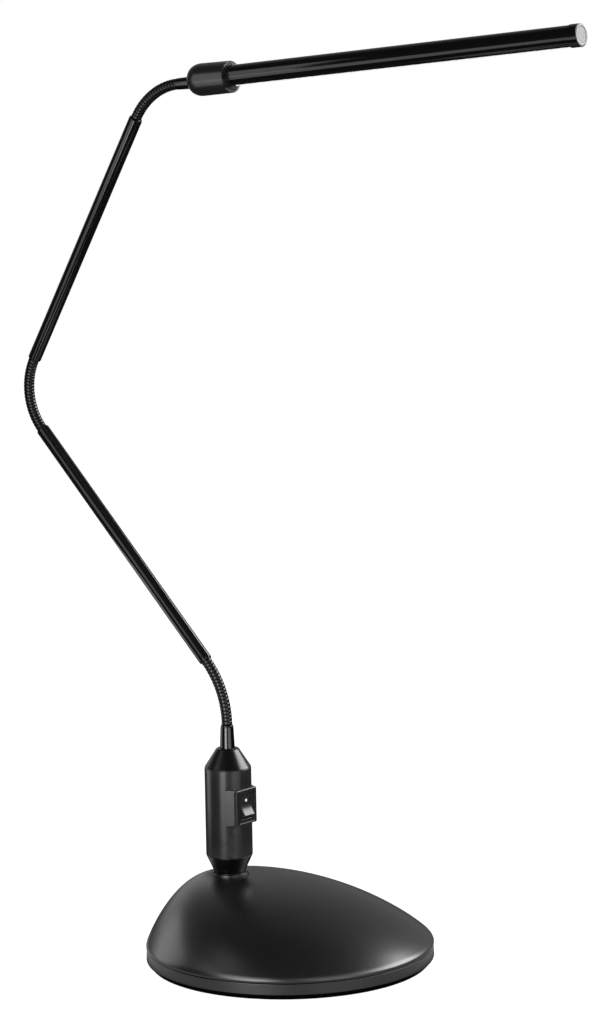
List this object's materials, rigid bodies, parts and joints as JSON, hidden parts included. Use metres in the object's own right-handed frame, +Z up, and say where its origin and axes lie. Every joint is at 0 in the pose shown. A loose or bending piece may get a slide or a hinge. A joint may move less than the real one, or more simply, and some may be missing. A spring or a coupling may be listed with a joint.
{
  "type": "gooseneck desk lamp",
  "caption": "Desk lamp with a round weighted base, a switch column, a jointed arm of two tubes with flexible necks and a slim LED tube.",
  "frame": {"origin": "centre of the base on the surface it stands on", "axes": "+Z up, +X the way the light tube points at rest; the arm lies in the X-Z plane"},
  "size_m": [0.4405, 0.1906, 0.6129],
  "materials": {
    "base_plastic": "satin black moulding with a fine grain",
    "column_plastic": "satin dark grey moulding",
    "gloss_black": "glossy black",
    "barrel_plastic": "satin black moulding",
    "switch_plastic": "semi-gloss black",
    "dot_white": "printed white",
    "tube_black": "gloss black coating",
    "neck_coil": "black coated steel coil",
    "ferrule_metal": "black plated metal",
    "clear_plastic": "clear moulded ring",
    "cap_frosted": "frosted end cap",
    "diffuser_white": "milky light diffuser",
    "led_yellow": "LED chips",
    "circuit_board": "coated circuit board",
    "inner_plastic": "black inner mouldings",
    "white_plastic": "natural nylon",
    "foot_rubber": "matte rubber",
    "grommet_rubber": "matte rubber",
    "ballast_steel": "plain steel plate",
    "screw_steel": "zinc plated",
    "terminal_brass": "plain brass",
    "can_aluminium": "plain can",
    "lead_insulation": "insulated lead"
  },
  "bodies": {
    "base": {"base_cover": "base_plastic", "base_pan": "base_plastic", "ballast_plate": "ballast_steel", "ballast_screws": "screw_steel", "foot_pad": "foot_rubber", "cover_screws": "screw_steel", "cord_grommet": "grommet_rubber", "terminal_block": "white_plastic", "driver_tray": "inner_plastic", "driver_board": "circuit_board", "driver_transformer": "inner_plastic", "driver_capacitor": "can_aluminium", "swivel_bush": "white_plastic"},
    "column": {"swivel_washer": "gloss_black", "column_foot": "gloss_black", "column_nut": "screw_steel", "column_washer": "screw_steel", "column_shell": "column_plastic", "switch_bezel": "column_plastic", "switch_body": "switch_plastic", "switch_terminals": "terminal_brass", "column_cap": "gloss_black", "column_ferrule": "ferrule_metal", "ferrule_nut": "screw_steel", "column_leads": "lead_insulation"},
    "rocker": {"switch_rocker": "switch_plastic", "rocker_dot": "dot_white"},
    "lower_arm": {"lower_tube": "tube_black", "lower_tube_plugs": "ferrule_metal", "lower_tube_lead": "lead_insulation"},
    "upper_arm": {"upper_tube": "tube_black", "upper_tube_plugs": "ferrule_metal", "upper_tube_lead": "lead_insulation"},
    "head": {"head_ferrule": "ferrule_metal", "head_rear_cap": "barrel_plastic", "head_barrel": "barrel_plastic", "head_bush": "white_plastic", "head_clear_ring": "clear_plastic"},
    "lamp_tube": {"head_tube": "tube_black", "tube_plug": "inner_plastic", "led_board": "circuit_board", "led_chips": "led_yellow", "tube_diffuser": "diffuser_white", "tube_end_ring": "tube_black", "tube_end_cap": "cap_frosted"},
    "lower_neck_1": {"neck_lower_link_1": "neck_coil"},
    "lower_neck_2": {"neck_lower_link_2": "neck_coil"},
    "lower_neck_3": {"neck_lower_link_3": "neck_coil"},
    "lower_neck_4": {"neck_lower_link_4": "neck_coil"},
    "middle_neck_1": {"neck_middle_link_1": "neck_coil"},
    "middle_neck_2": {"neck_middle_link_2": "neck_coil"},
    "middle_neck_3": {"neck_middle_link_3": "neck_coil"},
    "middle_neck_4": {"neck_middle_link_4": "neck_coil"},
    "upper_neck_1": {"neck_upper_link_1": "neck_coil"},
    "upper_neck_2": {"neck_upper_link_2": "neck_coil"},
    "upper_neck_3": {"neck_upper_link_3": "neck_coil"},
    "upper_neck_4": {"neck_upper_link_4": "neck_coil"}
  },
  "joints": [
    {"name": "column_swivel", "type": "hinge", "parent": "base", "child": "column", "pos_m": [-0.0484, 0, 0.0552], "axis": [0, 0, 1], "range_deg": [-170, 170]},
    {"name": "switch_rocker_tilt", "type": "hinge", "parent": "column", "child": "rocker", "pos_m": [-0.03585, -0.0011, 0.101], "axis": [0.0872, 0.9962, 0], "range_deg": [0, 28]},
    {"name": "lower_neck_bend", "type": "hinge", "parent": "column", "child": "lower_neck_1", "pos_m": [-0.04845, 0, 0.157], "axis": [0, 1, 0], "range_deg": [-16, 30]},
    {"name": "lower_neck_sway", "type": "hinge", "parent": "lower_neck_1", "child": "lower_neck_2", "pos_m": [-0.04983, 0, 0.16777], "axis": [0.9769, 0, 0.2135], "range_deg": [-25, 25]},
    {"name": "lower_neck_bend_2", "type": "hinge", "parent": "lower_neck_2", "child": "lower_neck_3", "pos_m": [-0.05307, 0, 0.17814], "axis": [0, 1, 0], "range_deg": [-16, 30]},
    {"name": "lower_neck_sway_2", "type": "hinge", "parent": "lower_neck_3", "child": "lower_neck_4", "pos_m": [-0.05806, 0, 0.18779], "axis": [0.8446, 0, 0.5355], "range_deg": [-25, 25]},
    {"name": "lower_neck_bend_3", "type": "hinge", "parent": "lower_neck_4", "child": "lower_arm", "pos_m": [-0.06466, 0, 0.19642], "axis": [0, 1, 0], "range_deg": [-16, 30]},
    {"name": "middle_neck_bend", "type": "hinge", "parent": "lower_arm", "child": "middle_neck_1", "pos_m": [-0.20115, 0, 0.346], "axis": [0, 1, 0], "range_deg": [-38, 7.5]},
    {"name": "middle_neck_sway", "type": "hinge", "parent": "middle_neck_1", "child": "middle_neck_2", "pos_m": [-0.2073, 0, 0.35651], "axis": [-0.9285, 0, -0.3714], "range_deg": [-25, 25]},
    {"name": "middle_neck_bend_2", "type": "hinge", "parent": "middle_neck_2", "child": "middle_neck_3", "pos_m": [-0.21009, 0, 0.36837], "axis": [0, 1, 0], "range_deg": [-38, 7.5]},
    {"name": "middle_neck_sway_2", "type": "hinge", "parent": "middle_neck_3", "child": "middle_neck_4", "pos_m": [-0.20928, 0, 0.38052], "axis": [-0.9767, 0, 0.2147], "range_deg": [-25, 25]},
    {"name": "middle_neck_bend_3", "type": "hinge", "parent": "middle_neck_4", "child": "upper_arm", "pos_m": [-0.20492, 0, 0.39189], "axis": [0, 1, 0], "range_deg": [-38, 7.5]},
    {"name": "upper_neck_bend", "type": "hinge", "parent": "upper_arm", "child": "upper_neck_1", "pos_m": [-0.1115, 0, 0.55688], "axis": [0, 1, 0], "range_deg": [-35, 11.5]},
    {"name": "upper_neck_sway", "type": "hinge", "parent": "upper_neck_1", "child": "upper_neck_2", "pos_m": [-0.10499, 0, 0.56482], "axis": [-0.6955, 0, 0.7185], "range_deg": [-25, 25]},
    {"name": "upper_neck_bend_2", "type": "hinge", "parent": "upper_neck_2", "child": "upper_neck_3", "pos_m": [-0.09684, 0, 0.57106], "axis": [0, 1, 0], "range_deg": [-35, 11.5]},
    {"name": "upper_neck_sway_2", "type": "hinge", "parent": "upper_neck_3", "child": "upper_neck_4", "pos_m": [-0.08748, 0, 0.57527], "axis": [-0.3027, 0, 0.9531], "range_deg": [-25, 25]},
    {"name": "upper_neck_bend_3", "type": "hinge", "parent": "upper_neck_4", "child": "head", "pos_m": [-0.07741, 0, 0.57723], "axis": [0, 1, 0], "range_deg": [-35, 11.5]},
    {"name": "lamp_tube_roll", "type": "hinge", "parent": "head", "child": "lamp_tube", "pos_m": [-0.06547, 0, 0.57976], "axis": [0.996, 0, 0.0889], "range_deg": [-90, 90]}
  ],
  "couplings": [
    {"joint": "lower_neck_bend_2", "follows": "lower_neck_bend", "ratio": 1},
    {"joint": "lower_neck_sway_2", "follows": "lower_neck_sway", "ratio": 1},
    {"joint": "lower_neck_bend_3", "follows": "lower_neck_bend", "ratio": 1},
    {"joint": "middle_neck_bend_2", "follows": "middle_neck_bend", "ratio": 1},
    {"joint": "middle_neck_sway_2", "follows": "middle_neck_sway", "ratio": 1},
    {"joint": "middle_neck_bend_3", "follows": "middle_neck_bend", "ratio": 1},
    {"joint": "upper_neck_bend_2", "follows": "upper_neck_bend", "ratio": 1},
    {"joint": "upper_neck_sway_2", "follows": "upper_neck_sway", "ratio": 1},
    {"joint": "upper_neck_bend_3", "follows": "upper_neck_bend", "ratio": 1}
  ]
}
